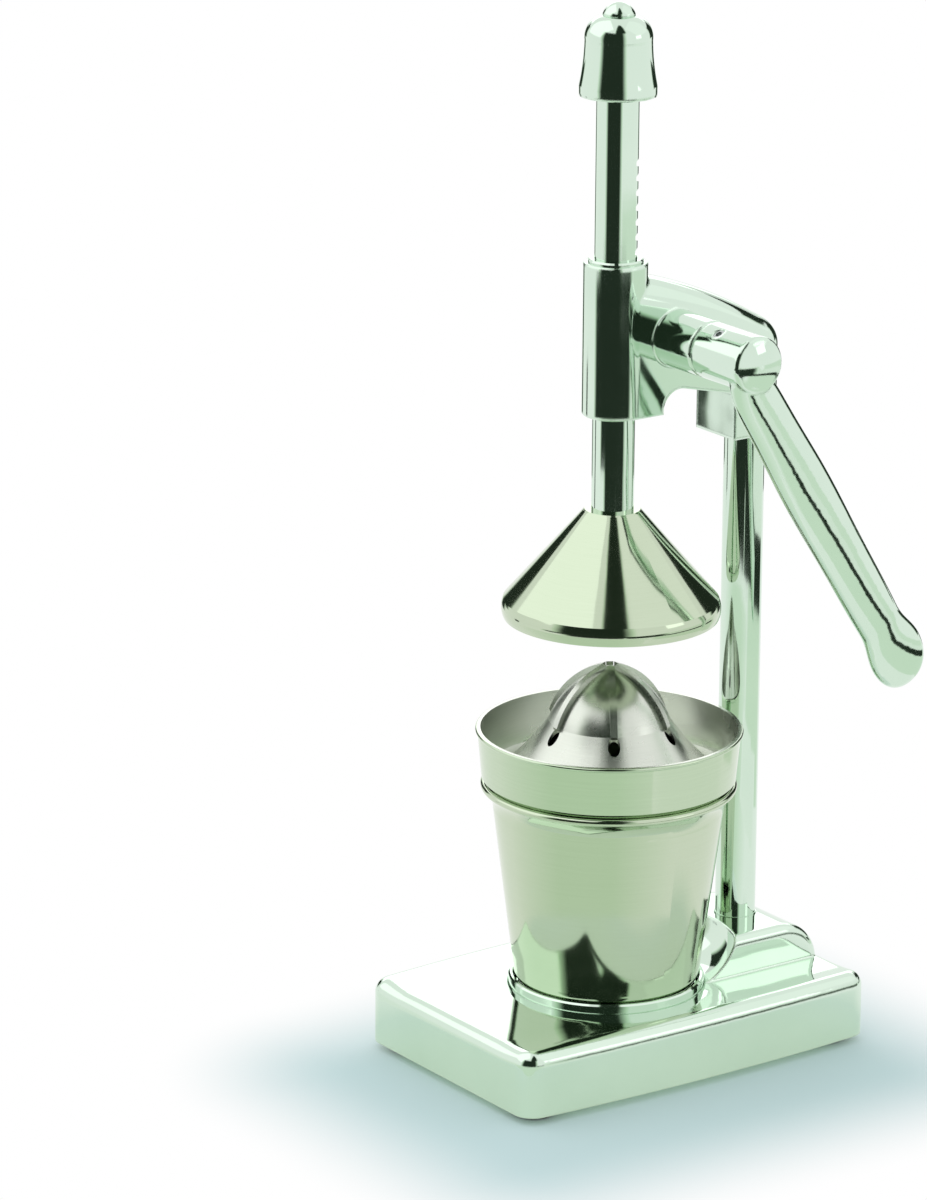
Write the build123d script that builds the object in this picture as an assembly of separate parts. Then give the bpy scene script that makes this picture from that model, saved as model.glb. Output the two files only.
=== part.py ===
from build123d import *
import os
from math import acos, cos, hypot, pi, radians, sin, tan

os.makedirs("parts", exist_ok=True)

# Lever citrus press. Millimetres, +Z up, the table is z = 0, the cup is at the front (-Y) and
# the lever on the right (+X). All is drawn round the press rod's axis, and moved at export so
# that the origin lies on the table under the middle of the whole press.

# Fits
ROD_PLAY = 0.06           # radial, rod in its bushes
SHAFT_PLAY = 0.05         # radial, shaft in its bushes
TIE_PLAY = 0.2            # radial, tie rod in the base
SIDE_PLAY = 0.3           # between faces that turn past each other
CUP_PLAY = 0.3            # radial, cup in its ring
RING_PLAY = 0.1           # radial, ring in its groove
SEAT_PLAY = 0.1           # strainer above the cup's bead
SKIRT_PLAY = 0.5          # radial, strainer's skirt in the cup's neck
OVER = 1.0                # how far a cutting shape runs past what it cuts
NEAR = 0.1                # how near counts as lying on a face

# Juice cup
CUP_H = 91.0
CUP_FOOT_R = 40.0
CUP_FOOT_ROUND = 7.0
CUP_NECK_R = 49.3         # where the mouth starts to flare
CUP_NECK_DROP = 12.0      # the neck below the top
CUP_FLARE = 4.1
CUP_FLARE_SAG = 0.9
CUP_WALL = 1.2
CUP_BEAD_R = 1.7
LIP_IN = 0.4              # middle of the bead inside the lip

# Strainer and its reamer
STR_H = 23.4              # rim above the cup's top
STR_FOOT_OUT = 1.3        # outside of the foot, beyond the middle of the cup's bead
STR_FOOT_ROUND = 2.0
STR_FLARE = 2.7           # outside of the rim, beyond the foot
STR_WALL = 1.3
STR_RIM_BEAD = 0.9
GUTTER_W = 6.8            # from the foot's outside in to where the floor rises
GUTTER_UP = 2.6
TRUMPET_SAG = 1.2
SKIRT_H = 7.0
SKIRT_WALL = 1.2
REAMER_UP = 27.0          # reamer's foot above the cup's top
REAMER_R = 26.0
REAMER_H = 24.0
REAMER_SAG = 4.1
RIBS = 6
RIB_W = 3.0
RIB_H = 1.9               # stands proud of the reamer by this
RIB_END = 0.6             # how far its ends stand past the reamer
RIB_TIP_R = 3.0
RIB_TURN = -32.6
HOLE_R = 2.6
HOLE_OUT = 2.3            # hole centres beyond the reamer's foot

# Base casting
BASE_W = 124.0            # across, at the middle of the bowed sides
BASE_BOW = 3.5            # how far each side bows out
FRONT_MARGIN = 44.0       # front wall before the cup's foot
REAR_MARGIN = 28.5        # rear wall behind the column's axis
FOOT_H = 3.0              # rubber showing below the casting
BASE_FLOOR = 30.0         # the flat the cup stands on
DISH_HALF_FLAT = 36.0     # half width of the flat before it curves up to the side rims
DISH_RISE_R = 122.0       # radius of that upward curve
BASE_CORNER_R = 9.0
BASE_EDGE_R = 6.0
BASE_WALL = 4.5
BASE_ROOF = 6.0
FOOT_R = 9.5
FOOT_INSET = 13.5         # foot centre from the front, rear and side walls
FOOT_EDGE = 0.8

# Raised ring that keeps the cup central
RING_W = 2.4
RING_H = 4.0
RING_SUNK = 1.5           # how deep it is set into the base
RING_BEVEL = 0.7

# Pedestal behind the cup
PED_HALF_W = 28.0
PED_H = 17.2
PED_BEHIND = 25.0         # its rear behind the column's axis
PED_ROUND = 19.4          # round of its rear
PED_EDGE_R = 4.0
SCOOP_MARGIN = 0.8        # floor between the ring and the scooped front
SCOOP_LAND = 4.75         # level top between the scoop and the column
SCOOP_SAG = 2.7

# Column and the tie rod that clamps the head to the base
COL_GAP = 3.75            # strainer's rim to column
COL_R = 8.75
COL_WALL = 2.0
COL_SUNK = 8.0
COL_FLAT = 0.6            # flat milled for the clamp screw
TIE_R = 4.0
TIE_BOSS_R = 12.0
TIE_RECESS = 9.0          # boss underside above the casting's underside
TIE_IN_HEAD = 13.0
TIE_WASHER_R = 9.0
TIE_WASHER_T = 1.6
TIE_NUT_ACROSS = 13.0
TIE_NUT_H = 6.0
TIE_END = 0.4             # thread showing below the nut

# Press rod and its cone
ROD_R = 9.0
ROD_SHOWN = 41.0          # rod between the cone and the guide
CONE_UP = 22.0            # cone's rim above the reamer's tip, as drawn
CONE_H = 47.0
CONE_BAND_H = 7.0
CONE_BAND_BULGE = 0.9
CONE_GAP = 6.5            # between the band and the strainer's wall
CONE_TOP_R = 12.4
CONE_EDGE = 0.6
CONE_WALL = 1.8
CONE_PLATE = 4.0
CONE_SCREW_R = 3.0
CONE_SCREW_LEN = 16.0
CONE_WASHER_R = 8.0
CONE_WASHER_T = 1.5
CONE_CAP_R = 5.2
CONE_CAP_H = 3.0
CONE_CAP_EDGE = 1.2
CONE_KEY = 4.0            # across the flats of its socket

# Bell knob on top of the rod
KNOB_UP = 70.5            # above the guide
KNOB_H = 33.2
KNOB_R = 16.3
KNOB_BEAD_H = 4.0
KNOB_SIDE_SAG = 0.45
KNOB_TOP_SAG = 2.4
KNOB_WAIST_R = 14.2
KNOB_WAIST_UP = 23.0
KNOB_SEAT_UP = 13.0       # how far the rod goes into it
STUD_R = 4.0
STUD_IN_FINIAL = 2.6
FINIAL_R = 7.0
FINIAL_H = 5.6

# Head casting
BUSH_WALL = 2.0
BUSH_LEN = 12.0
BUSH_LIP = 0.7
BUSH_LIP_H = 1.6
GUIDE_WALL = 2.5
GUIDE_LEN = 65.5
GUIDE_EDGE = 0.6
SOCKET_WALL = 4.55
SOCKET_DROP = 17.0        # socket's foot below the guide's
SOCKET_HALF = 15.7        # socket's front before the column's axis
SOCKET_DEEP = 25.0
CLAMP_UP = 11.0           # clamp screw above the socket's foot
ARM_DOWN = 2.5            # arm's top below the guide's, at the front
ARM_FRONT = -5.0
ARM_FALL = 41.0           # how far its top falls to the rear
ARM_PAST = 7.2            # its top's curve is drawn this far past the rear
ARM_TOP_SAG = 5.7
ARM_ROUND = 12.5
ARCH_REAR = 3.5           # arm's underside above the guide's foot, at the socket
ARCH_FRONT = 9.8          # and at the guide
ARCH_RUN = 13.4
ARCH_FOOT = 2.6
ARCH_SAG = 3.9

# Rack and pinion
MODULE = 2.0
TEETH = 16
PRESSURE_ANGLE = radians(20.0)
RACK_ADDENDUM = 1.8
PINION_ADDENDUM = 1.9
DEDENDUM = 2.4
BACKLASH = 0.24
FLANK_POINTS = 3
RACK_SUNK = 2.7           # pitch line inside the rod's surface
RACK_BELOW = 34.5         # rack below and above the shaft, as drawn
RACK_ABOVE = 80.6
PINION_W = 14.0
PINION_SIDE = 1.0         # room at each side
PINION_ROOM = 1.4         # room round the tips
PIN_R = 1.5
PIN_SHORT = 0.6           # pin's ends inside the tooth roots

# Shaft, boss and lever
SHAFT_UP = 32.4           # above the guide's foot
SHAFT_R = 6.0
SHAFT_BUSH_WALL = 1.95
BOSS_WALL = 4.2
BOSS_END = 38.0
BOSS_EDGE = 0.8
SHAFT_IN_LEVER = 24.0
END_WASHER_R = 10.0
END_WASHER_T = 1.6
END_SCREW_R = 2.5
END_SCREW_LEN = 10.0
END_HEAD_R = 5.5
END_HEAD_H = 3.2
END_HEAD_EDGE = 1.4
END_KEY = 3.4
KEY_DEEP = 2.0
GRUB_R = 2.5              # headless screws in the lever and the socket
GRUB_KEY = 2.6
GRUB_SHY = 0.5            # how far they stay below the surface
SHAFT_FLAT = 0.6
SET_SCREW_IN = 11.0       # from the lever's inner face
SET_SCREW_TURN = 30.0
LEVER_CLEAR = 1.4         # grip's inner side to the strainer's rim
LEVER_LEN = 163.6
LEVER_LEAN = radians(32.3)  # from straight down, towards the back
LEVER_DROP = 5.6          # arm's middle line before the shaft's axis
LEVER_HALF_T = 5.5
LEVER_LAND = 0.4          # barrel beyond the arm's outer side
BARREL_EDGE_R = 2.2
BARREL_DOME = 2.2
# Along the arm as a share of its length, half width, and what its half thickness lacks
LEVER_SECTIONS = [
    (0.0, 6.4, 0.2),
    (0.08, 10.5, 0.2),
    (0.18, 11.1, 0.1),
    (0.34, 12.0, 0.1),
    (0.55, 11.8, 0.1),
    (0.73, 11.3, 0.0),
    (0.86, 10.8, 0.0),
    (0.92, 12.0, 0.0),
    (0.97, 13.6, 0.0),
    (1.015, 12.9, 0.5),
    (1.052, 9.9, 1.6),
    (1.07, 6.1, 3.0),
    (1.076, 2.7, 4.3),
]

# Plan: the cup drives the strainer, and the strainer drives the column, the lever and the cone
cup_lip_r = CUP_NECK_R + CUP_FLARE
bead_mid_r = cup_lip_r - LIP_IN
str_foot_r = bead_mid_r + STR_FOOT_OUT
str_rim_r = str_foot_r + STR_FLARE
col_y = str_rim_r + COL_GAP + COL_R
cone_r = str_foot_r - STR_WALL - CONE_GAP
base_front = -(CUP_FOOT_R + FRONT_MARGIN)
base_rear = col_y + REAR_MARGIN
base_mid = (base_front + base_rear) / 2
base_depth = base_rear - base_front

# Heights, from the table up
ped_top = BASE_FLOOR + PED_H
cup_top = BASE_FLOOR + CUP_H
reamer_low = cup_top + REAMER_UP
reamer_tip = reamer_low + REAMER_H
cone_low = reamer_tip + CONE_UP
cone_top = cone_low + CONE_H
guide_low = cone_top + ROD_SHOWN
guide_high = guide_low + GUIDE_LEN
shaft_z = guide_low + SHAFT_UP
socket_low = guide_low - SOCKET_DROP
socket_top = socket_low + SOCKET_DEEP
knob_low = guide_high + KNOB_UP
knob_top = knob_low + KNOB_H
rod_seat = knob_low + KNOB_SEAT_UP
stud_top = knob_top + STUD_IN_FINIAL

# Rod, guide, gear and shaft radii and places
bush_r = ROD_R + ROD_PLAY + BUSH_WALL
guide_r = bush_r + GUIDE_WALL
arm_half_w = COL_R + SOCKET_WALL
pitch_r = MODULE * TEETH / 2
pitch = pi * MODULE
rack_line = ROD_R - RACK_SUNK
shaft_y = rack_line + pitch_r
shaft_bush_r = SHAFT_R + SHAFT_PLAY + SHAFT_BUSH_WALL
boss_r = shaft_bush_r + BOSS_WALL
lever_face = BOSS_END + SIDE_PLAY
lever_x = str_rim_r + LEVER_CLEAR + LEVER_HALF_T
barrel_end = lever_x + LEVER_HALF_T + LEVER_LAND

nodes = {}


def off_line(start, end, sag):
    """The point beside the middle of a straight line, to the right of its way for a positive sag."""
    (x0, y0), (x1, y1) = start, end
    length = hypot(x1 - x0, y1 - y0)
    return ((x0 + x1) / 2 + sag * (y1 - y0) / length, (y0 + y1) / 2 - sag * (x1 - x0) / length)


def bowed(start, end, sag):
    """An arc whose middle stands off the straight line."""
    return ThreePointArc(start, off_line(start, end, sag), end)


def nosed(start, end, sag):
    """A free curve like a bowed arc, for an outline that ends on the axis."""
    return Spline(start, off_line(start, end, sag), end)


def dome(radius, low, high):
    """An arc from (radius, low) up to the axis, level where it meets it."""
    ball = (radius**2 + (high - low) ** 2) / (2 * (high - low))
    middle = high - ball + (ball**2 - radius**2 / 4) ** 0.5
    return ThreePointArc((radius, low), (radius / 2, middle), (0, high))


def quarter(corner, start, end):
    """A quarter circle from start to end, round the inside of the corner where their tangents meet."""
    share = 1 - cos(pi / 4)
    middle_x = corner[0] + share * (start[0] - corner[0] + end[0] - corner[0])
    middle_y = corner[1] + share * (start[1] - corner[1] + end[1] - corner[1])
    return ThreePointArc(start, (middle_x, middle_y), end)


def turned(*edges):
    """A solid of revolution about Z from a closed outline drawn as (radius, height)."""
    return revolve(Plane.XZ * make_face(Curve() + list(edges)), axis=Axis.Z)


def side_slab(edges, half_width):
    """A slab from a closed outline drawn as (Y, Z), reaching equally both ways along X."""
    face = Plane.YZ * make_face(Curve() + list(edges))
    return Pos(-half_width, 0, 0) * extrude(face, amount=2 * half_width)


def rod_z(radius, low, high, x=0.0, y=0.0):
    """A round bar along Z."""
    return Pos(x, y, (low + high) / 2) * Cylinder(radius, high - low)


def rod_x(radius, low, high):
    """A round bar along X, on the lever shaft's axis."""
    return Pos((low + high) / 2, shaft_y, shaft_z) * Rot(0, 90, 0) * Cylinder(radius, high - low)


def hex_z(across, low, high, x=0.0, y=0.0):
    """A hexagon bar along Z."""
    flat = RegularPolygon(across / 2, 6, major_radius=False)
    return Pos(x, y, low) * extrude(flat, amount=high - low)


def round_edges(solid):
    """The solid's circular edges."""
    return solid.edges().filter_by(GeomType.CIRCLE)


def grub(low, high):
    """A headless screw along +Z with a hexagon socket in its upper end."""
    return rod_z(GRUB_R, low, high) - hex_z(GRUB_KEY, high - KEY_DEEP, high + OVER)


def cup_radius(height):
    """Outside radius of the cup at a height above the base's floor, up to its neck."""
    if height < CUP_FOOT_ROUND:
        return CUP_FOOT_R - CUP_FOOT_ROUND + (CUP_FOOT_ROUND**2 - (CUP_FOOT_ROUND - height) ** 2) ** 0.5
    taper = (CUP_NECK_R - CUP_FOOT_R) / (CUP_H - CUP_NECK_DROP - CUP_FOOT_ROUND)
    return CUP_FOOT_R + taper * (height - CUP_FOOT_ROUND)


def dish_height(x):
    """Height of the base's dished top at a distance from the middle."""
    past_flat = max(abs(x) - DISH_HALF_FLAT, 0.0)
    return BASE_FLOOR + DISH_RISE_R - (DISH_RISE_R**2 - past_flat**2) ** 0.5


# Base casting: bowed block with a dished top and rounded rim
half_end = BASE_W / 2 - BASE_BOW
block_top = dish_height(BASE_W / 2) + OVER
plan = make_face(
    Curve()
    + [
        Line((-half_end, base_front), (half_end, base_front)),
        ThreePointArc((half_end, base_front), (BASE_W / 2, base_mid), (half_end, base_rear)),
        Line((half_end, base_rear), (-half_end, base_rear)),
        ThreePointArc((-half_end, base_rear), (-BASE_W / 2, base_mid), (-half_end, base_front)),
    ]
)
base = Pos(0, 0, FOOT_H) * extrude(plan, amount=block_top - FOOT_H)
base = fillet(base.edges().filter_by(Axis.Z), BASE_CORNER_R)
dish_out = BASE_W / 2 + OVER
dish_mid = (DISH_HALF_FLAT + dish_out) / 2
dish_mid_z = dish_height(dish_mid)
dish_high = dish_height(dish_out)
dish_side = make_face(
    Curve()
    + [
        Line((-DISH_HALF_FLAT, BASE_FLOOR), (DISH_HALF_FLAT, BASE_FLOOR)),
        ThreePointArc((DISH_HALF_FLAT, BASE_FLOOR), (dish_mid, dish_mid_z), (dish_out, dish_high)),
        Polyline(
            (dish_out, dish_high),
            (dish_out, block_top + OVER),
            (-dish_out, block_top + OVER),
            (-dish_out, dish_high),
        ),
        ThreePointArc((-dish_out, dish_high), (-dish_mid, dish_mid_z), (-DISH_HALF_FLAT, BASE_FLOOR)),
    ]
)
dish = Pos(0, base_rear + OVER, 0) * extrude(Plane.XZ * dish_side, amount=base_depth + 2 * OVER)
base -= dish
rim_edges = []
for edge in base.edges():
    on_crease = abs(abs(edge.center().X) - DISH_HALF_FLAT) < OVER
    if edge.center().Z > BASE_FLOOR - OVER / 2 and not on_crease:
        rim_edges.append(edge)
base = fillet(rim_edges, BASE_EDGE_R)

# Hollow underside with a pillar over each foot and a boss for the tie rod
tie_seat = FOOT_H + TIE_RECESS
hollow = Pos(0, base_mid, FOOT_H) * extrude(
    RectangleRounded(2 * (half_end - BASE_WALL), base_depth - 2 * BASE_WALL, BASE_CORNER_R - BASE_WALL),
    amount=BASE_FLOOR - BASE_ROOF - FOOT_H,
)
foot_x = half_end - FOOT_INSET
foot_spots = {
    "foot_front_left": (-foot_x, base_front + FOOT_INSET),
    "foot_front_right": (foot_x, base_front + FOOT_INSET),
    "foot_rear_left": (-foot_x, base_rear - FOOT_INSET),
    "foot_rear_right": (foot_x, base_rear - FOOT_INSET),
}
for x, y in foot_spots.values():
    hollow -= rod_z(FOOT_R, 0, BASE_FLOOR, x, y)
hollow -= rod_z(TIE_BOSS_R, tie_seat, BASE_FLOOR, 0, col_y)
base -= hollow

# Ring round the cup's foot, set into a groove
ring_in_r = cup_radius(RING_H) + CUP_PLAY
ring_out_r = ring_in_r + RING_W
ring_low = BASE_FLOOR - RING_SUNK
ring_top = BASE_FLOOR + RING_H
ring = turned(
    Polyline(
        (ring_in_r, ring_low),
        (ring_out_r, ring_low),
        (ring_out_r, ring_top - RING_BEVEL),
        (ring_out_r - RING_BEVEL, ring_top),
        (ring_in_r + RING_BEVEL, ring_top),
        (ring_in_r, ring_top - RING_BEVEL),
        close=True,
    )
)

# Pedestal: rounded at the rear and scooped out round the cup
ped_rear = col_y + PED_BEHIND
ped_low = min(ped_top - PED_ROUND, BASE_FLOOR) - OVER
ped_turn = ped_rear - PED_ROUND
ped_round_foot = (ped_rear, ped_top - PED_ROUND)
pedestal = side_slab(
    [
        Polyline(ped_round_foot, (ped_rear, ped_low), (0, ped_low), (0, ped_top), (ped_turn, ped_top)),
        quarter((ped_rear, ped_top), (ped_turn, ped_top), ped_round_foot),
    ],
    PED_HALF_W,
)
top_sides = []
for edge in pedestal.edges():
    on_side = abs(abs(edge.center().X) - PED_HALF_W) < NEAR
    if on_side and edge.center().Z > BASE_FLOOR + PED_H / 3 and edge.center().Y > OVER:
        top_sides.append(edge)
pedestal = fillet(top_sides, PED_EDGE_R)
scoop_r = ring_out_r + SCOOP_MARGIN
scoop_top_r = col_y - COL_R - SCOOP_LAND
scoop_high = ped_top + OVER
pedestal -= turned(
    Line((0, BASE_FLOOR), (scoop_r, BASE_FLOOR)),
    bowed((scoop_r, BASE_FLOOR), (scoop_top_r, scoop_high), SCOOP_SAG),
    Polyline((scoop_top_r, scoop_high), (0, scoop_high), (0, BASE_FLOOR)),
)
base += pedestal
base -= rod_z(COL_R, ped_top - COL_SUNK, ped_top + OVER, 0, col_y)
base -= rod_z(TIE_R + TIE_PLAY, 0, ped_top, 0, col_y)
groove = rod_z(ring_out_r + RING_PLAY, ring_low, ring_top) - rod_z(ring_in_r - RING_PLAY, ring_low, ring_top)
nodes["base"] = base - groove
nodes["cup_ring"] = ring

# Feet, each stuck under its pillar
for name, (x, y) in foot_spots.items():
    foot = rod_z(FOOT_R, 0, FOOT_H, x, y)
    nodes[name] = chamfer(foot.edges().group_by(Axis.Z)[0], FOOT_EDGE)

# Column tube, with the tie rod through it
col_low = ped_top - COL_SUNK
column = rod_z(COL_R, col_low, socket_top, 0, col_y)
column -= rod_z(COL_R - COL_WALL, col_low - OVER, socket_top + OVER, 0, col_y)
washer_low = tie_seat - TIE_WASHER_T
nut_low = washer_low - TIE_NUT_H
tie_rod = rod_z(TIE_R, nut_low - TIE_END, socket_top + TIE_IN_HEAD, 0, col_y)
nodes["tie_rod"] = tie_rod
nodes["tie_washer"] = rod_z(TIE_WASHER_R, washer_low, tie_seat, 0, col_y) - tie_rod
nodes["tie_nut"] = hex_z(TIE_NUT_ACROSS, nut_low, washer_low, 0, col_y) - tie_rod

# Head casting: guide tube, rounded arm falling to the rear, column socket, shaft boss
arm_plan = make_face(
    Curve()
    + [
        Polyline((-arm_half_w, col_y), (-arm_half_w, 0), (arm_half_w, 0), (arm_half_w, col_y)),
        ThreePointArc((arm_half_w, col_y), (0, col_y + arm_half_w), (-arm_half_w, col_y)),
    ]
)
arm_high = guide_high - ARM_DOWN
arm_end = col_y + arm_half_w + ARM_PAST
socket_front = col_y - SOCKET_HALF
arch_top = (guide_r + ARCH_RUN, guide_low + ARCH_FRONT)
arch_foot = (guide_r + ARCH_FOOT, guide_low)
arm_side = side_slab(
    [
        bowed((ARM_FRONT, arm_high), (arm_end, arm_high - ARM_FALL), -ARM_TOP_SAG),
        Polyline(
            (arm_end, arm_high - ARM_FALL),
            (arm_end, socket_low),
            (socket_front, socket_low),
            (socket_front, guide_low + ARCH_REAR),
            arch_top,
        ),
        bowed(arch_top, arch_foot, ARCH_SAG),
        Polyline(arch_foot, (ARM_FRONT, guide_low), (ARM_FRONT, arm_high)),
    ],
    2 * arm_half_w,
)
arm = (Pos(0, 0, socket_low) * extrude(arm_plan, amount=guide_high - socket_low)) & arm_side
arm_roof = max((f for f in arm.faces() if f.normal_at().Z > 0.5), key=lambda f: f.area)
arm = fillet([e for e in arm_roof.edges() if e.center().Y > OVER], ARM_ROUND)
guide = rod_z(guide_r, guide_low, guide_high)
guide = chamfer(round_edges(guide), GUIDE_EDGE)
boss = rod_x(boss_r, 0, BOSS_END)
boss = chamfer(round_edges(boss).sort_by(Axis.X)[-1], BOSS_EDGE)
head = arm + guide + boss

# Bores of the head, with the pinion's chamber open below so that the pinion can be put in
chamber_half = PINION_W / 2 + PINION_SIDE
chamber_r = pitch_r + PINION_ADDENDUM + PINION_ROOM
slot_front = guide_r - GUIDE_WALL / 2
slot_rear = shaft_y + chamber_r
slot_low = guide_low - OVER
head -= rod_z(bush_r, guide_low - OVER, guide_high + OVER)
head -= rod_x(chamber_r, -chamber_half, chamber_half)
head -= Pos(0, (slot_front + slot_rear) / 2, (shaft_z + slot_low) / 2) * Box(
    2 * chamber_half, slot_rear - slot_front, shaft_z - slot_low
)
head -= rod_x(shaft_bush_r, -arm_half_w - OVER, BOSS_END + OVER)
head -= rod_z(COL_R, socket_low - OVER, socket_top, 0, col_y)
head -= tie_rod

# Clamp screw through the back of the socket, bearing on a flat on the column
clamp_way = Pos(0, col_y, socket_low + CLAMP_UP) * Rot(-90, 0, 0)
clamp_at = COL_R - COL_FLAT
nodes["head"] = head - clamp_way * rod_z(GRUB_R, clamp_at, arm_half_w + OVER)
nodes["column"] = column - clamp_way * rod_z(GRUB_R + SIDE_PLAY, clamp_at, COL_R + OVER)
nodes["socket_screw"] = clamp_way * grub(clamp_at, arm_half_w - GRUB_SHY)

# Bushes
rod_hole = rod_z(ROD_R + ROD_PLAY, guide_low - OVER, guide_high + BUSH_LIP_H + OVER)
bush_lip = rod_z(bush_r + BUSH_LIP, guide_high, guide_high + BUSH_LIP_H)
bush_lip = chamfer(round_edges(bush_lip).sort_by(Axis.Z)[-1], BUSH_LIP)
nodes["lower_guide_bush"] = rod_z(bush_r, guide_low, guide_low + BUSH_LEN) - rod_hole
nodes["upper_guide_bush"] = rod_z(bush_r, guide_high - BUSH_LEN, guide_high) + bush_lip - rod_hole
shaft_hole = rod_x(SHAFT_R + SHAFT_PLAY, -arm_half_w - OVER, BOSS_END + OVER)
nodes["right_shaft_bush"] = rod_x(shaft_bush_r, chamber_half, BOSS_END) - shaft_hole
nodes["left_shaft_bush"] = rod_x(shaft_bush_r, -arm_half_w, -chamber_half) - shaft_hole


# Pinion: involute teeth, one of them pointing straight at the rod
def involute(angle):
    """Involute function of a pressure angle."""
    return tan(angle) - angle


def pinion_points():
    """The pinion's outline, tooth by tooth."""
    base_r = pitch_r * cos(PRESSURE_ANGLE)
    tip_r = pitch_r + PINION_ADDENDUM
    flank = []
    for i in range(FLANK_POINTS):
        r = base_r + (tip_r - base_r) * i / (FLANK_POINTS - 1)
        half = pi / (2 * TEETH) + involute(PRESSURE_ANGLE) - involute(acos(base_r / r))
        flank.append((r, half))
    flank.insert(0, (pitch_r - DEDENDUM, flank[0][1]))
    points = []
    for k in range(TEETH):
        mid = pi + 2 * pi * k / TEETH
        for r, half in flank:
            points.append((r * cos(mid - half), r * sin(mid - half)))
        for r, half in reversed(flank):
            points.append((r * cos(mid + half), r * sin(mid + half)))
    return points


pinion = extrude(Plane.YZ * make_face(Polyline(*pinion_points(), close=True)), amount=PINION_W)
pinion = Pos(-PINION_W / 2, shaft_y, shaft_z) * pinion
pinion -= rod_x(SHAFT_R, -PINION_W, PINION_W)
pin_way = Pos(0, shaft_y, shaft_z) * Rot(180.0 / TEETH, 0, 0)
pin_bore = pin_way * Cylinder(PIN_R, 2 * pitch_r)
nodes["pinion"] = pinion - pin_bore
nodes["pinion_pin"] = pin_way * Cylinder(PIN_R, 2 * (pitch_r - DEDENDUM - PIN_SHORT))

# Shaft, kept from sliding out by a washer and screw at its left end
shaft_left = -arm_half_w - SIDE_PLAY
shaft_right = lever_face + SHAFT_IN_LEVER
set_way = Pos(lever_face + SET_SCREW_IN, shaft_y, shaft_z) * Rot(SET_SCREW_TURN, 0, 0)
set_at = SHAFT_R - SHAFT_FLAT
shaft = rod_x(SHAFT_R, shaft_left, shaft_right) - pin_bore
shaft -= rod_x(END_SCREW_R, shaft_left - OVER, shaft_left + END_SCREW_LEN + OVER)
nodes["pinion_shaft"] = shaft - set_way * rod_z(GRUB_R + SIDE_PLAY, set_at, SHAFT_R + OVER)
washer_left = shaft_left - END_WASHER_T
head_left = washer_left - END_HEAD_H
end_shank = rod_x(END_SCREW_R, washer_left, shaft_left + END_SCREW_LEN)
nodes["shaft_end_washer"] = rod_x(END_WASHER_R, washer_left, shaft_left) - end_shank
end_head = rod_x(END_HEAD_R, head_left, washer_left)
end_head = chamfer(round_edges(end_head).sort_by(Axis.X)[0], END_HEAD_EDGE)
end_key = extrude(Plane.YZ * RegularPolygon(END_KEY / 2, 6, major_radius=False), amount=KEY_DEEP + OVER)
nodes["shaft_end_screw"] = end_head + end_shank - Pos(head_left - OVER, shaft_y, shaft_z) * end_key

# Lever: barrel with a domed end, and a rounded arm that swells into the grip
dome_r = boss_r - BARREL_EDGE_R
barrel = Pos(0, shaft_y, shaft_z) * Rot(0, 90, 0) * turned(
    Polyline(
        (0, lever_face),
        (boss_r - BOSS_EDGE, lever_face),
        (boss_r, lever_face + BOSS_EDGE),
        (boss_r, barrel_end - BARREL_EDGE_R),
    ),
    quarter((boss_r, barrel_end), (boss_r, barrel_end - BARREL_EDGE_R), (dome_r, barrel_end)),
    dome(dome_r, barrel_end, barrel_end + BARREL_DOME),
    Line((0, barrel_end + BARREL_DOME), (0, lever_face)),
)
lever_dir = Vector(0, sin(LEVER_LEAN), -cos(LEVER_LEAN))
lever_front = Vector(0, -cos(LEVER_LEAN), -sin(LEVER_LEAN))
lever_root = Vector(lever_x, shaft_y, shaft_z) + lever_front * LEVER_DROP
sections = []
for share, half_w, thinner in LEVER_SECTIONS:
    spot = lever_root + lever_dir * (share * LEVER_LEN)
    section = Ellipse(LEVER_HALF_T - thinner, half_w)
    sections.append(Plane(origin=spot, x_dir=(1, 0, 0), z_dir=lever_dir) * section)
lever = barrel + loft(sections)
lever -= rod_x(SHAFT_R, lever_face - OVER, shaft_right)
nodes["lever"] = lever - set_way * rod_z(GRUB_R, set_at, boss_r + OVER)
nodes["lever_set_screw"] = set_way * grub(set_at, boss_r - GRUB_SHY)

# Press rod with the rack cut into its back
cone_shank = rod_z(CONE_SCREW_R, cone_low, cone_top + CONE_SCREW_LEN)
rod = rod_z(ROD_R, cone_top, rod_seat) + rod_z(STUD_R, rod_seat, stud_top)
rack_low = shaft_z - RACK_BELOW
rack_high = shaft_z + RACK_ABOVE
tip_line = rack_line + RACK_ADDENDUM
rod -= Pos(0, tip_line + ROD_R / 2, (rack_low + rack_high) / 2) * Box(3 * ROD_R, ROD_R, rack_high - rack_low)
gap_half = pitch / 4 + BACKLASH / 2
slope = tan(PRESSURE_ANGLE)
gap_out = RACK_SUNK + OVER
gap_side = Polyline(
    (rack_line - DEDENDUM, -gap_half + DEDENDUM * slope),
    (rack_line + gap_out, -gap_half - gap_out * slope),
    (rack_line + gap_out, gap_half + gap_out * slope),
    (rack_line - DEDENDUM, gap_half - DEDENDUM * slope),
    close=True,
)
gap = side_slab([gap_side], 2 * ROD_R)
first_gap = int(-RACK_BELOW / pitch)
last_gap = int(RACK_ABOVE / pitch)
rod -= [Pos(0, 0, shaft_z + k * pitch) * gap for k in range(first_gap, last_gap + 1)]
nodes["press_rod"] = rod - cone_shank

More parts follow.
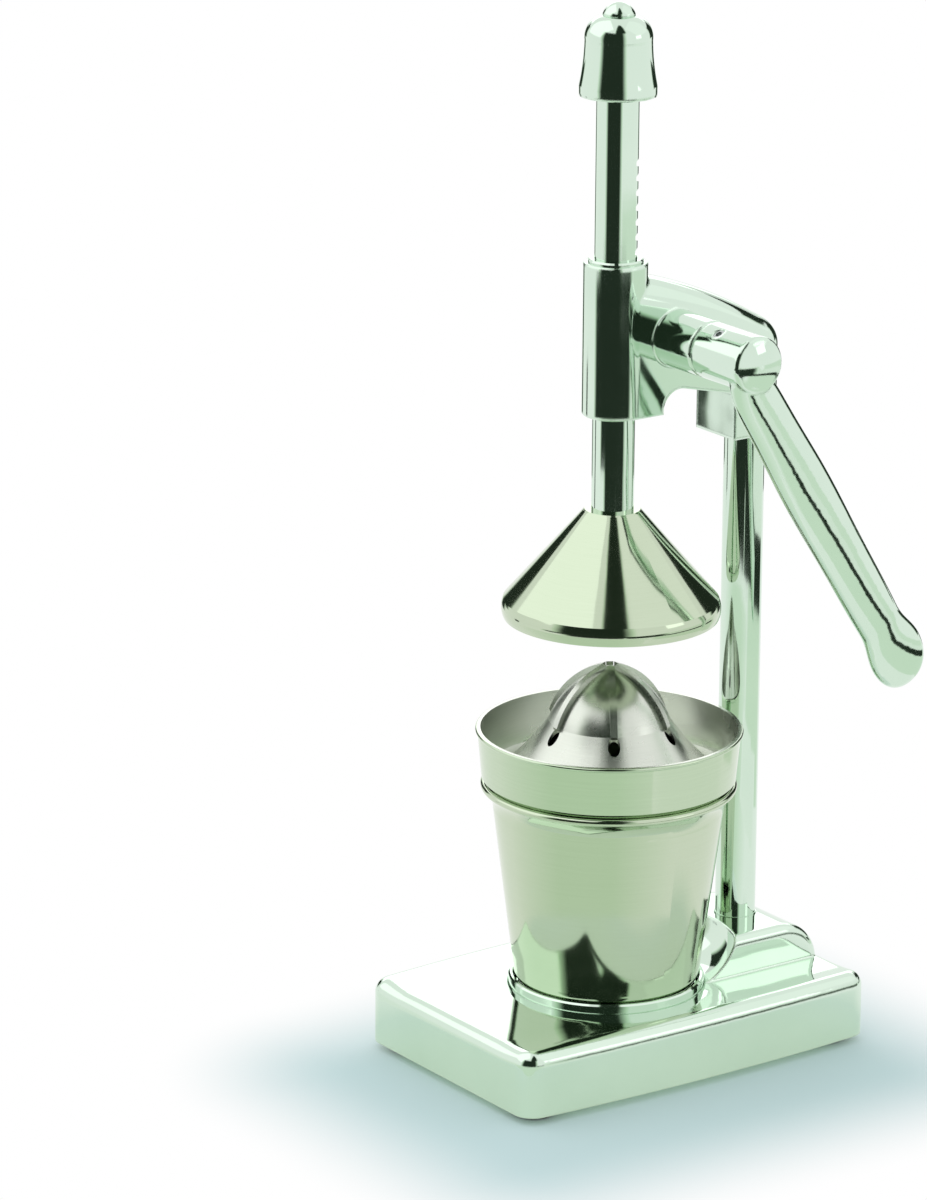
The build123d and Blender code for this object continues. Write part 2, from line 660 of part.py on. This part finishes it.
# Bell knob and its domed nut
knob_bead = (KNOB_R, knob_low + KNOB_BEAD_H)
knob_waist = (KNOB_WAIST_R, knob_low + KNOB_WAIST_UP)
knob = turned(
    Line((0, knob_low), (KNOB_R, knob_low)),
    Line((KNOB_R, knob_low), knob_bead),
    bowed(knob_bead, knob_waist, -KNOB_SIDE_SAG),
    bowed(knob_waist, (FINIAL_R, knob_top), KNOB_TOP_SAG),
    Polyline((FINIAL_R, knob_top), (0, knob_top), (0, knob_low)),
)
nodes["knob"] = knob - rod_z(ROD_R, knob_low - OVER, rod_seat) - rod_z(STUD_R, knob_low, knob_top + OVER)
finial = turned(
    Line((0, knob_top), (FINIAL_R, knob_top)),
    dome(FINIAL_R, knob_top, knob_top + FINIAL_H),
    Line((0, knob_top + FINIAL_H), (0, knob_top)),
)
nodes["knob_finial"] = finial - rod_z(STUD_R, knob_top - OVER, stud_top)

# Press cone: thin spun cone with a band round its foot, screwed to the rod's end
cone_band = cone_low + CONE_BAND_H
plate_low = cone_top - CONE_PLATE
cone_slope = (cone_r - CONE_TOP_R) / (cone_top - cone_band)
band_foot = (cone_r - CONE_BAND_BULGE, cone_low)
band_top = (cone_r - CONE_BAND_BULGE, cone_band + CONE_BAND_BULGE)
cone = turned(
    Polyline((0, cone_top), (CONE_TOP_R - CONE_EDGE, cone_top), (CONE_TOP_R, cone_top - CONE_EDGE), band_top),
    bowed(band_top, band_foot, -CONE_BAND_BULGE),
    Polyline(
        band_foot,
        (band_foot[0] - CONE_WALL, cone_low),
        (band_foot[0] - CONE_WALL, cone_band - CONE_WALL),
        (CONE_TOP_R + CONE_PLATE * cone_slope - CONE_WALL / cos(pi / 4), plate_low),
        (0, plate_low),
        (0, cone_top),
    ),
)
nodes["press_cone"] = cone - cone_shank
cap_high = plate_low - CONE_WASHER_T
cap_low = cap_high - CONE_CAP_H
nodes["cone_washer"] = rod_z(CONE_WASHER_R, cap_high, plate_low) - cone_shank
cap = rod_z(CONE_CAP_R, cap_low, cap_high)
cap = chamfer(round_edges(cap).sort_by(Axis.Z)[0], CONE_CAP_EDGE)
cone_screw = cap + rod_z(CONE_SCREW_R, cap_high, cone_top + CONE_SCREW_LEN)
nodes["cone_screw"] = cone_screw - hex_z(CONE_KEY, cap_low - OVER, cap_low + KEY_DEEP)

# Juice cup: thin tapered cup with a rounded foot and a flared mouth ending in a bead
neck_z = cup_top - CUP_NECK_DROP
bead_z = cup_top - CUP_BEAD_R
bead_out = bead_mid_r + CUP_BEAD_R
foot_flat = CUP_FOOT_R - CUP_FOOT_ROUND
foot_top = BASE_FLOOR + CUP_FOOT_ROUND
inner_low = BASE_FLOOR + CUP_WALL
inner_neck = (CUP_NECK_R - CUP_WALL, neck_z)
inner_lip = (bead_mid_r - CUP_WALL, cup_top)
outer_lip = (bead_mid_r, cup_top - 2 * CUP_BEAD_R)
nodes["juice_cup"] = turned(
    Line((0, BASE_FLOOR), (foot_flat, BASE_FLOOR)),
    quarter((CUP_FOOT_R, BASE_FLOOR), (foot_flat, BASE_FLOOR), (CUP_FOOT_R, foot_top)),
    Line((CUP_FOOT_R, foot_top), (CUP_NECK_R, neck_z)),
    bowed((CUP_NECK_R, neck_z), outer_lip, -CUP_FLARE_SAG),
    ThreePointArc(outer_lip, (bead_out, bead_z), (bead_mid_r, cup_top)),
    Line((bead_mid_r, cup_top), inner_lip),
    bowed(inner_lip, inner_neck, CUP_FLARE_SAG),
    Polyline(
        inner_neck,
        (CUP_FOOT_R - CUP_WALL, foot_top),
        (foot_flat, inner_low),
        (0, inner_low),
        (0, BASE_FLOOR),
    ),
)

# Strainer: dish on the cup's bead, its floor rising like a trumpet to the reamer
str_low = cup_top + SEAT_PLAY
rim_z = cup_top + STR_H - STR_RIM_BEAD
gutter_r = str_foot_r - GUTTER_W
sheet = STR_WALL * cos(pi / 4)
rim_wall_r = str_rim_r - STR_RIM_BEAD
rim_top = (rim_wall_r, rim_z + STR_RIM_BEAD)
rim_in = (rim_wall_r - STR_WALL, rim_z + STR_RIM_BEAD)
rim_under = (rim_wall_r, rim_z - STR_RIM_BEAD)
foot_out = (str_foot_r, str_low + STR_FOOT_ROUND)
foot_in = (str_foot_r - STR_WALL, str_low + STR_FOOT_ROUND + STR_WALL)
foot_turn = (str_foot_r - STR_FOOT_ROUND, str_low)
gutter_top = (gutter_r, str_low + GUTTER_UP)
reamer_foot = (REAMER_R, reamer_low)
skirt_r = CUP_NECK_R - CUP_WALL - SKIRT_PLAY
under_gutter = (gutter_r - sheet, str_low + GUTTER_UP - sheet)
under_foot = (REAMER_R - sheet, reamer_low - sheet)
strainer = turned(
    Line(rim_in, foot_in),
    bowed(foot_in, gutter_top, -STR_WALL / 2),
    bowed(gutter_top, reamer_foot, -TRUMPET_SAG),
    nosed(reamer_foot, (0, reamer_tip), REAMER_SAG),
    Polyline((0, reamer_tip), (0, str_low), foot_turn, foot_out, rim_under),
    ThreePointArc(rim_under, (str_rim_r, rim_z), rim_top),
    Line(rim_top, rim_in),
)

# Ribs up the reamer, each ending at a drain hole
rib_foot = (REAMER_R + RIB_H, reamer_low + RIB_END)
rib_heel = (REAMER_R + RIB_END, reamer_low - RIB_H)
rib_tip = (RIB_TIP_R, reamer_tip + RIB_END)
rib_side = make_face(
    Curve()
    + [
        bowed(rib_foot, rib_tip, REAMER_SAG),
        Polyline(rib_tip, (RIB_TIP_R, rib_heel[1]), rib_heel, rib_foot),
    ]
)
rib = Pos(0, RIB_W / 2, 0) * extrude(Plane.XZ * rib_side, amount=RIB_W)
turns = [Rot(0, 0, RIB_TURN + 360.0 * k / RIBS) for k in range(RIBS)]
strainer += [turn * rib for turn in turns]

# Hollow underside, a skirt that keeps the strainer central in the cup, and the drain holes
strainer -= turned(
    Polyline(
        (0, reamer_tip - STR_WALL),
        (0, str_low - OVER),
        (under_gutter[0], str_low - OVER),
        under_gutter,
    ),
    bowed(under_gutter, under_foot, -TRUMPET_SAG),
    nosed(under_foot, (0, reamer_tip - STR_WALL), REAMER_SAG),
)
skirt_low = cup_top - SKIRT_H
skirt_top = str_low + GUTTER_UP / 2
skirt = rod_z(skirt_r, skirt_low, skirt_top)
strainer += skirt - rod_z(skirt_r - SKIRT_WALL, skirt_low - OVER, skirt_top + OVER)
hole = rod_z(HOLE_R, cup_top, reamer_low - OVER / 2, REAMER_R + HOLE_OUT)
nodes["strainer"] = strainer - [turn * hole for turn in turns]

# The origin goes under the middle of the whole press, to a tenth of a millimetre
lever_box = nodes["lever"].bounding_box()
middle_x = round((lever_box.max.X - BASE_W / 2) / 2, 1)
middle_y = round((lever_box.max.Y + base_front) / 2, 1)
for name, solid in nodes.items():
    export_step(Pos(-middle_x, -middle_y, 0) * solid, f"parts/{name}.step")
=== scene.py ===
from math import cos, radians, sin

import bmesh
import bpy
from mathutils import Matrix, Vector


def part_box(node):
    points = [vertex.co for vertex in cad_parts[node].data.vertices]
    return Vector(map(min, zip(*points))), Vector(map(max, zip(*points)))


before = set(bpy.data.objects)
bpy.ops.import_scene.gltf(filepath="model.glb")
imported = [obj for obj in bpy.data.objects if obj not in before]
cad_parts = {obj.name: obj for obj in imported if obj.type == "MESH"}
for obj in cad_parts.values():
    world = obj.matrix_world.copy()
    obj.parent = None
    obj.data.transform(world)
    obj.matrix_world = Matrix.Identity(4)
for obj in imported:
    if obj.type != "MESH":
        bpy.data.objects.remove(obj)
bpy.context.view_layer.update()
scene = bpy.context.scene
scene.view_settings.view_transform = "Standard"

# Lengths are in metres. The camera, the textures and the studio are placed from the press rod's axis
rod_low, rod_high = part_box("press_rod")
AXIS = Vector(((rod_low.x + rod_high.x) / 2, (rod_low.y + rod_high.y) / 2, 0.0))
WHITE = (1.0, 1.0, 1.0)

# Camera: a long lens, looking down on the press from its front right. Lens and sensor are in millimetres
CAM_AZIMUTH = radians(54.7)
CAM_ELEVATION = radians(17.0)
CAM_ROLL = radians(0.35)
CAM_DISTANCE = 2.530
CAM_LENS = 180.0
CAM_SENSOR = 36.0
CAM_CLIP_END = 60.0
CAM_TARGET = AXIS + Vector((-0.03598, -0.05081, 0.20024))

heading = Vector((sin(CAM_AZIMUTH), -cos(CAM_AZIMUTH), 0.0))
sideways = Vector((cos(CAM_AZIMUTH), sin(CAM_AZIMUTH), 0.0))


def around(turn_deg, distance, height):
    """A point round the press: 0 degrees is towards the camera, 90 to the picture's right."""
    turn = radians(turn_deg)
    outward = heading * cos(turn) + sideways * sin(turn)
    return AXIS + outward * distance + Vector((0.0, 0.0, height))


def add_camera():
    """The camera, turned to face its target and then rolled a little."""
    back = heading * cos(CAM_ELEVATION) + Vector((0.0, 0.0, sin(CAM_ELEVATION)))
    level_up = back.cross(sideways)
    right = sideways * cos(CAM_ROLL) + level_up * sin(CAM_ROLL)
    up = level_up * cos(CAM_ROLL) - sideways * sin(CAM_ROLL)
    data = bpy.data.cameras.new("camera")
    data.lens = CAM_LENS
    data.sensor_width = CAM_SENSOR
    data.clip_end = CAM_CLIP_END
    camera = bpy.data.objects.new("camera", data)
    turn = Matrix((right, up, back)).transposed().to_4x4()
    camera.matrix_world = Matrix.Translation(CAM_TARGET + back * CAM_DISTANCE) @ turn
    scene.collection.objects.link(camera)
    scene.camera = camera


add_camera()

# Node trees. Most of a noise texture's values lie between NOISE_LOW and NOISE_HIGH
NOISE_LOW = 0.3
NOISE_HIGH = 0.7
NUMBER_RESULTS = ("LENGTH", "DOT_PRODUCT")


class NodeTree:
    """The nodes of a material or world, with short names for adding more.

    A bare tree starts without the nodes that Blender puts into a new one."""

    def __init__(self, owner, bare=False):
        owner.use_nodes = True
        self.tree = owner.node_tree
        if bare:
            self.tree.nodes.clear()

    def feed(self, socket, source):
        """Link another node's output to a socket, or set the socket to a constant."""
        if isinstance(source, bpy.types.NodeSocket):
            self.tree.links.new(source, socket)
        else:
            socket.default_value = source

    def node(self, kind, sockets=None, **settings):
        """Add a node, with what its sockets get by their names or numbers."""
        made = self.tree.nodes.new("ShaderNode" + kind)
        for name, value in settings.items():
            setattr(made, name, value)
        for name, source in (sockets or {}).items():
            self.feed(made.inputs[name], source)
        return made

    def maths(self, operation, first, second):
        return self.node("Math", {0: first, 1: second}, operation=operation).outputs["Value"]

    def vector(self, operation, *values):
        """Vector maths. A length or a dot product gives a number, and the rest a vector."""
        made = self.node("VectorMath", dict(enumerate(values)), operation=operation)
        return made.outputs["Value" if operation in NUMBER_RESULTS else "Vector"]

    def joined(self, x, y, z):
        return self.node("CombineXYZ", {"X": x, "Y": y, "Z": z}).outputs["Vector"]

    def noise(self, vector, scale, detail=2.0, roughness=0.5):
        sockets = {"Vector": vector, "Scale": scale, "Detail": detail, "Roughness": roughness}
        return self.node("TexNoise", sockets).outputs["Fac"]

    def spread(self, source, low, high, start=NOISE_LOW, stop=NOISE_HIGH, **settings):
        """A number that goes from low to high as the source rises from start to stop."""
        sockets = {"Value": source, "From Min": start, "From Max": stop, "To Min": low, "To Max": high}
        return self.node("MapRange", sockets, **settings).outputs["Result"]

    def ramp(self, source, *stops):
        """A colour that runs through rising stops, each a value of the source and its colour."""
        made = self.node("ValToRGB", {"Fac": source})
        elements = made.color_ramp.elements
        while len(elements) < len(stops):
            elements.new(1.0)
        for element, (value, colour) in zip(elements, stops):
            element.position = value
            element.color = (*colour, 1.0)
        return made.outputs["Color"]

    def tones(self, noise, darker, paler):
        """A colour that varies with a noise texture."""
        return self.ramp(noise, (NOISE_LOW, darker), (NOISE_HIGH, paler))

    def mixed(self, factor, first, second):
        made = self.node("Mix", {"Factor": factor, "A": first, "B": second}, data_type="FLOAT")
        return made.outputs["Result"]

    def mixed_shaders(self, factor, first, second):
        return self.node("MixShader", {0: factor, 1: first, 2: second}).outputs["Shader"]


# Materials: colours are linear, and stretches and the scales of textures are per metre
WIPE_STRETCH = (40.0, 55.0, 35.0)
SMEAR_STRETCH = (30.0, 30.0, 45.0)

# How much a turned ring changes along its length, per radian
RING_DRIFT = 1.5

# Directions that are averaged where a casting's edges are evened out
EVEN_SAMPLES = 8

# Patches of roughness are coarser than a machined part's grain by this share of its scale
PATCH_SHARE = 0.4

# Walls of the strainer beyond this distance from the axis are polished to a deeper colour where
# they face outwards: not at the first cosine, wholly at the second, with little of the turned rings
WALL_FROM_AXIS = 0.045
WALL_BLEND = 0.002
WALL_FACING = (0.2, 0.5)
WALL_TINT = (0.815, 0.935, 0.77)
WALL_LINES = 0.05


class Look(NodeTree):
    """A principled material whose textures lie in the object's own coordinates."""

    def __init__(self, name, metallic):
        self.material = bpy.data.materials.new(name)
        super().__init__(self.material)
        self.principled = self.tree.nodes["Principled BSDF"]
        self.coordinates = self.node("TexCoord")
        self.place = self.coordinates.outputs["Object"]
        self.put("Metallic", metallic)

    def put(self, name, source):
        self.feed(self.principled.inputs[name], source)

    def stretched(self, scale):
        """Object coordinates, measured from the rod's axis and stretched."""
        shift = [-centre * stretch for centre, stretch in zip(AXIS, scale)]
        sockets = {"Vector": self.place, "Location": shift, "Scale": scale}
        return self.node("Mapping", sockets).outputs["Vector"]

    def from_axis(self):
        """The level arrow from the rod's axis to the surface."""
        return self.stretched((1.0, 1.0, 0.0))

    def rings(self, fine):
        """Coordinates that change quickly across turned rings and slowly along them."""
        split = self.node("SeparateXYZ", {"Vector": self.stretched((1.0, 1.0, 1.0))})
        x, y, z = split.outputs
        radius = self.vector("LENGTH", self.from_axis())
        angle = self.maths("ARCTAN2", y, x)
        return self.joined(
            self.maths("MULTIPLY", radius, fine),
            self.maths("MULTIPLY", z, fine),
            self.maths("MULTIPLY", angle, RING_DRIFT),
        )

    def outer_wall(self):
        """1 on walls well away from the axis that face outwards, and 0 elsewhere."""
        arrow = self.from_axis()
        radius = self.vector("LENGTH", arrow)
        far = self.spread(radius, 0.0, 1.0, start=WALL_FROM_AXIS, stop=WALL_FROM_AXIS + WALL_BLEND)
        outward = self.vector("NORMALIZE", arrow)
        facing = self.vector("DOT_PRODUCT", outward, self.coordinates.outputs["Normal"])
        return self.maths("MULTIPLY", far, self.spread(facing, 0.0, 1.0, *WALL_FACING))

    def evened(self, reach):
        """The surface's direction, averaged over a small reach, as buffing leaves a casting."""
        return self.node("Bevel", {"Radius": reach}, samples=EVEN_SAMPLES).outputs["Normal"]

    def bump(self, height, depth, strength=1.0, normal=None):
        """The surface's direction, or the one given, with a height texture on it."""
        made = self.node("Bump", {"Height": height, "Distance": depth, "Strength": strength})
        if normal is not None:
            self.feed(made.inputs["Normal"], normal)
        return made.outputs["Normal"]


def chrome(name, wave, wave_depth, reach=None):
    """Bright plating: nearly a mirror, over a hand-polished and slightly wavy surface.

    wave is the scale of its waves, and reach is how far buffing has evened it out, if at all."""
    look = Look(name, metallic=1.0)
    clouds = look.noise(look.place, scale=22.0, detail=3.0)
    wipes = look.noise(look.stretched(WIPE_STRETCH), scale=1.0, detail=4.0, roughness=0.65)
    waves = look.noise(look.place, scale=wave, detail=1.0)
    haze = look.noise(look.place, scale=2600.0)
    look.put("Base Color", look.tones(clouds, darker=(0.645, 0.785, 0.665), paler=(0.69, 0.82, 0.705)))
    look.put("Roughness", look.spread(wipes, low=0.035, high=0.075))
    smooth = look.evened(reach) if reach else None
    wavy = look.bump(waves, wave_depth, normal=smooth)
    look.put("Normal", look.bump(haze, depth=0.0000002, normal=wavy))
    return look.material


def turned_steel(name, darker, paler, smoothest, roughest, fine, line_depth, outside=None):
    """Stainless steel with the fine rings that polishing on a lathe leaves.

    outside gives the roughness of walls that face away from the axis, where they are polished
    and a little deeper in colour."""
    look = Look(name, metallic=1.0)
    lines = look.noise(look.rings(fine), scale=1.0, detail=3.0, roughness=0.6)
    smears = look.noise(look.stretched(SMEAR_STRETCH), scale=1.0, detail=4.0, roughness=0.6)
    waves = look.noise(look.place, scale=28.0, detail=1.0)
    colour = look.tones(lines, darker, paler)
    rough = look.spread(smears, smoothest, roughest)
    line_strength = 1.0
    if outside is not None:
        wall = look.outer_wall()
        colour = look.vector("MULTIPLY", colour, look.ramp(wall, (0.0, WHITE), (1.0, WALL_TINT)))
        rough = look.mixed(wall, rough, outside)
        line_strength = look.spread(wall, 1.0, WALL_LINES, start=0.0, stop=1.0)
    look.put("Base Color", colour)
    look.put("Roughness", rough)
    wavy = look.bump(waves, depth=0.00008)
    look.put("Normal", look.bump(lines, line_depth, line_strength, normal=wavy))
    return look.material


def machined(name, darker, paler, smoothest, roughest, grain, grain_depth):
    """Small steel or bronze parts as they come from the machine or the plating bath."""
    look = Look(name, metallic=1.0)
    spots = look.noise(look.place, scale=grain, detail=4.0, roughness=0.6)
    patches = look.noise(look.place, scale=grain * PATCH_SHARE, detail=3.0)
    look.put("Base Color", look.tones(spots, darker, paler))
    look.put("Roughness", look.spread(patches, smoothest, roughest))
    look.put("Normal", look.bump(spots, grain_depth))
    return look.material


def rubber(name):
    """Black moulded rubber, dull and finely pitted."""
    look = Look(name, metallic=0.0)
    pits = look.noise(look.place, scale=900.0, detail=4.0, roughness=0.65)
    patches = look.noise(look.place, scale=300.0, detail=3.0)
    look.put("Specular IOR Level", 0.35)
    look.put("Base Color", look.tones(pits, darker=(0.009, 0.010, 0.010), paler=(0.024, 0.025, 0.024)))
    look.put("Roughness", look.spread(patches, low=0.55, high=0.78))
    look.put("Normal", look.bump(pits, depth=0.00006))
    return look.material


def plain_name(material):
    """A material's name without the number that Blender adds to a second one of that name."""
    return material.name.split(".")[0]


materials = (
    chrome("cast_chrome", wave=34.0, wave_depth=0.00022, reach=0.002),
    chrome("bar_chrome", wave=60.0, wave_depth=0.00004),
    turned_steel(
        "polished_steel",
        darker=(0.54, 0.63, 0.47),
        paler=(0.56, 0.65, 0.49),
        smoothest=0.06,
        roughest=0.12,
        fine=2600.0,
        line_depth=0.0000002,
    ),
    turned_steel(
        "satin_steel",
        darker=(0.65, 0.685, 0.615),
        paler=(0.675, 0.71, 0.64),
        smoothest=0.22,
        roughest=0.34,
        fine=1500.0,
        line_depth=0.000003,
        outside=0.09,
    ),
    machined(
        "bronze",
        darker=(0.36, 0.21, 0.085),
        paler=(0.55, 0.34, 0.15),
        smoothest=0.28,
        roughest=0.45,
        grain=700.0,
        grain_depth=0.00001,
    ),
    machined(
        "gear_steel",
        darker=(0.20, 0.21, 0.20),
        paler=(0.36, 0.37, 0.36),
        smoothest=0.25,
        roughest=0.42,
        grain=500.0,
        grain_depth=0.00001,
    ),
    machined(
        "zinc_steel",
        darker=(0.46, 0.49, 0.48),
        paler=(0.64, 0.67, 0.66),
        smoothest=0.2,
        roughest=0.34,
        grain=800.0,
        grain_depth=0.000008,
    ),
    rubber("foot_rubber"),
)
by_name = {plain_name(material): material for material in materials}
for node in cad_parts.values():
    for slot in node.material_slots:
        slot.material = by_name[plain_name(slot.material)]

# Floor: lit where the press's shadow falls, and glowing white further out. Near the base the lit part
# also paints shade: its cyan grey colour and the outline below make the floor dimmer there, over the
# real shadows
FLOOR_HALF = 9.0
FLOOR_Z = -0.0004
FLOOR_CORNERS = ((-1, -1), (1, -1), (1, 1), (-1, 1))
FLOOR_GRAIN = 3.0
# Cyan grey tones of the lit part, with a random grain: painted shade colour, which gives the shade near
# the base its cool tint
FLOOR_SHADE_DARKER = (0.71, 0.86, 0.87)
FLOOR_SHADE_PALER = (0.74, 0.885, 0.89)

# The lit part is the base's outline, moved towards the camera and fading over a width, so that its
# painted shade lies in front of the base, where the press's shadow falls
SHADE_AHEAD = 0.035
SHADE_WIDE = 0.09

# Shares of glow: at the base, and the least in reflections, where it is tinged close to the base
GLOW_AT_BASE = 0.03
GLOW_MIRRORED = 0.5
GLOW_TINGE = (0.97, 1.0, 0.84)


def floor_material():
    """Diffuse and glowing, by shares that change with the distance from the base: near the base the
    diffuse part paints a cool shade, over the real shadows.
    """
    material = bpy.data.materials.new("pale_floor")
    tree = NodeTree(material, bare=True)
    place = tree.node("TexCoord").outputs
    base_low, base_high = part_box("base")
    middle = (base_low + base_high) / 2 + heading * SHADE_AHEAD
    half = (base_high - base_low) / 2
    offset = tree.vector("SUBTRACT", place["Object"], (middle.x, middle.y, FLOOR_Z))
    outside = tree.vector("SUBTRACT", tree.vector("ABSOLUTE", offset), (half.x, half.y, 0.0))
    apart = tree.vector("LENGTH", tree.vector("MAXIMUM", outside, (0.0, 0.0, 0.0)))
    share = tree.spread(
        apart, GLOW_AT_BASE, 1.0, start=0.0, stop=SHADE_WIDE, interpolation_type="SMOOTHSTEP"
    )
    mirrored = tree.node("LightPath").outputs["Is Glossy Ray"]
    glowing = tree.maths("MAXIMUM", share, tree.maths("MULTIPLY", mirrored, GLOW_MIRRORED))
    tinge = tree.ramp(tree.mixed(mirrored, 1.0, share), (0.0, GLOW_TINGE), (1.0, WHITE))
    grain = tree.noise(place["Generated"], scale=FLOOR_GRAIN)
    colour = tree.ramp(grain, (0.0, FLOOR_SHADE_DARKER), (1.0, FLOOR_SHADE_PALER))
    lit = tree.node("BsdfDiffuse", {"Color": colour}).outputs["BSDF"]
    glow = tree.node("Emission", {"Color": tinge}).outputs["Emission"]
    tree.node("OutputMaterial", {"Surface": tree.mixed_shaders(glowing, lit, glow)})
    return material


floor_mesh = bpy.data.meshes.new("floor")
floor_points = [(x * FLOOR_HALF, y * FLOOR_HALF, FLOOR_Z) for x, y in FLOOR_CORNERS]
floor_mesh.from_pydata(floor_points, [], [range(len(floor_points))])
floor_mesh.materials.append(floor_material())
floor = bpy.data.objects.new("floor", floor_mesh)
scene.collection.objects.link(floor)

# World
FILL_COLOUR = (0.90, 0.98, 1.0)
FILL_STRENGTH = 0.75


def studio_world():
    """White to the camera and in reflections, and a weaker cool fill for the rest."""
    world = bpy.data.worlds.new("studio")
    tree = NodeTree(world, bare=True)
    path = tree.node("LightPath").outputs
    seen = tree.maths("MAXIMUM", path["Is Camera Ray"], path["Is Glossy Ray"])
    fill = tree.node("Background", {"Color": (*FILL_COLOUR, 1.0), "Strength": FILL_STRENGTH})
    white = tree.node("Background", {"Color": (*WHITE, 1.0)})
    backdrop = tree.mixed_shaders(seen, fill.outputs["Background"], white.outputs["Background"])
    tree.node("OutputWorld", {"Surface": backdrop})
    return world


scene.world = studio_world()

# Soft boxes
AIM_HEIGHT = 0.15
AIM = AXIS + Vector((0.0, 0.0, AIM_HEIGHT))


def softbox(name, place, width, height, power):
    """An area lamp that faces the press, with its power in watts."""
    data = bpy.data.lights.new(name, "AREA")
    data.shape = "RECTANGLE"
    data.size = width
    data.size_y = height
    data.energy = power
    lamp = bpy.data.objects.new(name, data)
    lamp.location = place
    lamp.rotation_mode = "QUATERNION"
    lamp.rotation_quaternion = (AIM - place).to_track_quat("-Z", "Y")
    lamp.visible_camera = False
    scene.collection.objects.link(lamp)


softbox("softbox_left", around(-95, distance=1.14, height=1.41), width=1.9, height=1.9, power=4.2)
softbox("softbox_right", around(90, distance=1.09, height=1.45), width=1.6, height=1.6, power=0.7)
softbox("softbox_low", around(70, distance=2.4, height=0.92), width=0.9, height=0.5, power=0.9)
softbox("softbox_back", around(180, distance=2.3, height=1.05), width=2.6, height=0.9, power=5.5)

# Cards: dark or grey bands round the press that show only in reflections
CARD_STEPS = 48
CARD_GREY = (0.735, 0.845, 0.715)
CARD_GREY_DEPTH = 0.30
CARD_DARK = (0.020, 0.030, 0.021)

# The height of one layer of the cards that lie above the floor
LAYER = 0.0005

# Distances from the axis where cards meet or end
SLOT_END = 0.30
TABLE_END = 0.66
NEAR_END = 0.93
BEYOND_END = 1.05
MIDDLE_END = 1.40
FAR_END = 2.8
BEHIND_START = 0.9
BEHIND_END = 3.2

# Heights of the low cards near the base and of the tall one on the camera's side
LOW_TOP = 0.045
TALL_TOP = 2.6


def card_material():
    """White at depth 0, then greyer, and nearly black at depth 1."""
    material = bpy.data.materials.new("black_card")
    tree = NodeTree(material, bare=True)
    depth = tree.node("Attribute", attribute_name="depth").outputs["Fac"]
    shade = tree.ramp(depth, (0.0, WHITE), (CARD_GREY_DEPTH, CARD_GREY), (1.0, CARD_DARK))
    glow = tree.node("Emission", {"Color": shade}).outputs["Emission"]
    tree.node("OutputMaterial", {"Surface": glow})
    return material


card_shader = card_material()


def card(name, start, stop, soft, near, far, deep=1.0):
    """A card round the press from start to stop degrees, between two rings of (distance, height).

    Its two ends fade to white over soft degrees, and deep is its depth of tone between them."""
    mesh = bpy.data.meshes.new(name)
    work = bmesh.new()
    depths = []
    last = None
    for step in range(CARD_STEPS + 1):
        turn_deg = start + (stop - start) * step / CARD_STEPS
        pair = [work.verts.new(around(turn_deg, *ring)) for ring in (near, far)]
        depths += [deep * min(1.0, (turn_deg - start) / soft, (stop - turn_deg) / soft)] * len(pair)
        if last:
            work.faces.new((*last, *reversed(pair)))
        last = pair
    work.to_mesh(mesh)
    work.free()
    mesh.attributes.new("depth", "FLOAT", "POINT").data.foreach_set("value", depths)
    mesh.materials.append(card_shader)
    made = bpy.data.objects.new(name, mesh)
    scene.collection.objects.link(made)
    made.visible_camera = False
    made.visible_diffuse = False
    made.visible_shadow = False
    made.visible_transmission = False


def lying(name, start, stop, soft, near, far, layer=2, deep=1.0):
    """A level card just above the floor, where a higher layer hides the lower ones under it."""
    card(name, start, stop, soft, (near, layer * LAYER), (far, layer * LAYER), deep)


def standing(name, start, stop, soft, distance, height, deep=1.0):
    """An upright card whose foot is at the level that the press stands on."""
    card(name, start, stop, soft, (distance, 0.0), (distance, height), deep)


# Towards the camera
lying("dark_near", -54, 62, soft=12, near=TABLE_END, far=NEAR_END)
lying("dark_middle", -78, 62, soft=10, near=NEAR_END, far=MIDDLE_END)
lying("dark_far", -66, 26, soft=14, near=MIDDLE_END, far=FAR_END)
standing("dark_camera_side", -66, 26, soft=14, distance=FAR_END, height=TALL_TOP)
card("dark_overhead", -18, 30, soft=6, near=(0.15, 2.0), far=(FAR_END, TALL_TOP))

# In front and to the right, lower and paler
standing("table_edge", 12, 128, soft=4, distance=TABLE_END, height=LOW_TOP)
lying("table_front", -110, 64, soft=60, near=0.15, far=0.60, layer=4, deep=0.30)
lying("table_right", 38, 134, soft=8, near=0.345, far=TABLE_END, layer=6, deep=0.27)
lying("beyond_right", 24, 134, soft=10, near=TABLE_END, far=BEYOND_END, layer=1, deep=0.12)
lying("far_right", 24, 134, soft=10, near=BEYOND_END, far=1.6, layer=1, deep=0.24)
standing("slot_right", 40, 104, soft=8, distance=SLOT_END, height=LOW_TOP, deep=0.90)
card("slot_roof", 34, 110, soft=8, near=(0.16, LOW_TOP), far=(SLOT_END, LOW_TOP), deep=0.06)

# To the left and behind
lying("dark_left_floor", -117, -109.5, soft=0.35, near=0.80, far=1.15)
standing("dark_right_behind", 122, 163, soft=5, distance=BEHIND_END, height=1.6)
standing("dark_left_behind", 197, 227, soft=5, distance=BEHIND_END, height=1.3)
lying("dark_floor_right", 138, 164, soft=6, near=BEHIND_START, far=BEHIND_END)
lying("dark_floor_left", 196, 218, soft=6, near=BEHIND_START, far=BEHIND_END)
